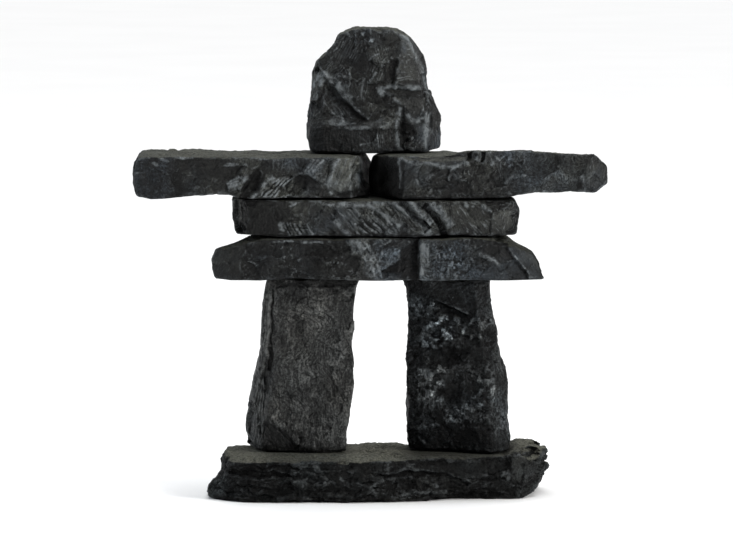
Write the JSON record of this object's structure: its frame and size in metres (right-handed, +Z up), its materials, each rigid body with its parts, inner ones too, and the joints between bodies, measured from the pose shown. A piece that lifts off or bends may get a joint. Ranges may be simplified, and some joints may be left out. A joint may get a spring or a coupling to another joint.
{
  "type": "inukshuk sculpture",
  "caption": "Tabletop stone figure stacked from split dark slate slabs: a ragged base, two legs, lintel, waist, outstretched arms and a head.",
  "frame": {"origin": "under the middle of the figure's box, on the surface that the base stands on", "axes": "+Z up, -Y out of the front of the figure, +X to the viewer's right along the arms"},
  "size_m": [0.1986, 0.0518, 0.1971],
  "materials": {
    "base_stone": "rough split slate with dusty olive-brown layer edges",
    "leg_stone": "rough, fibrous and pitted split slate",
    "slab_stone": "split slate with smooth struck facets, fine scratches and pale edges",
    "head_stone": "knapped slate with blue-grey ridges"
  },
  "bodies": {
    "root": {"base_slab": "base_stone", "left_leg": "leg_stone", "right_leg": "leg_stone", "lintel": "slab_stone", "waist": "slab_stone", "left_arm": "slab_stone", "right_arm": "slab_stone", "head_stone": "head_stone"}
  },
  "joints": []
}
